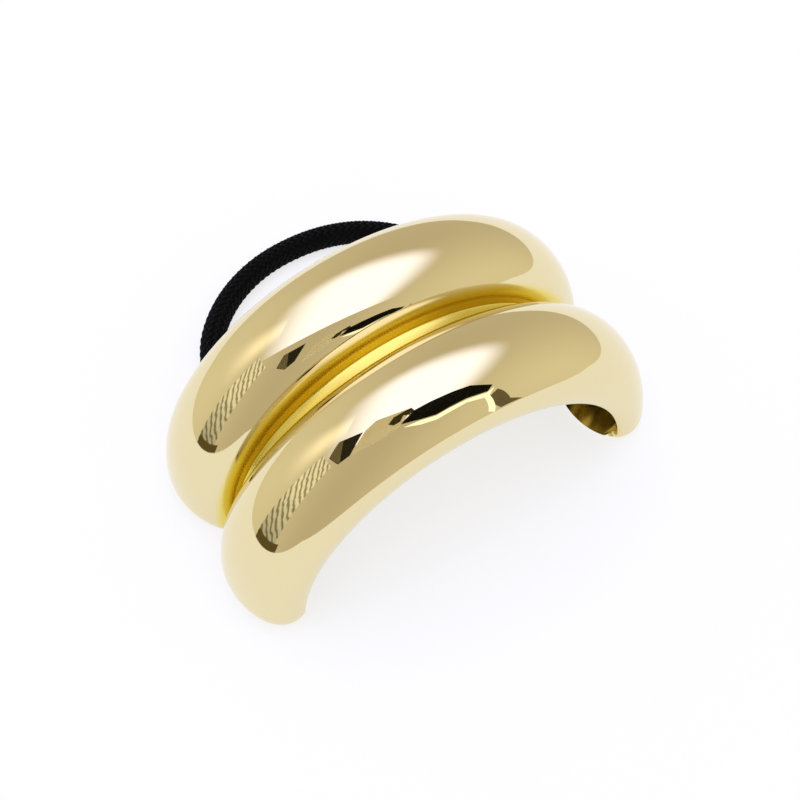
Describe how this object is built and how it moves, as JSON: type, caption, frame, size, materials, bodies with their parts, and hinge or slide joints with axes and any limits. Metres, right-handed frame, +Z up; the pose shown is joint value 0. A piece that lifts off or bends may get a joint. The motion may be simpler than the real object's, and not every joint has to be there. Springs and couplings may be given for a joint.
{
  "type": "hair tie with a double-dome metal cuff",
  "caption": "Arched metal cuff of twin hollow domes with a valley between them, on a round elastic loop that holds it over a ponytail.",
  "frame": {"origin": "on the table under the middle of the cuff, which stands on its two feet", "axes": "+X across the arch from foot to foot, +Y from the front dome to the back one and on to the elastic, +Z up from the table to the crown"},
  "size_m": [0.0462, 0.0398, 0.0237],
  "materials": {
    "gold_plate": "mirror-polished pale gold plate",
    "black_elastic": "fine matte braid over a rubber core"
  },
  "bodies": {
    "root": {"cuff": "gold_plate", "elastic_band": "black_elastic"}
  },
  "joints": []
}
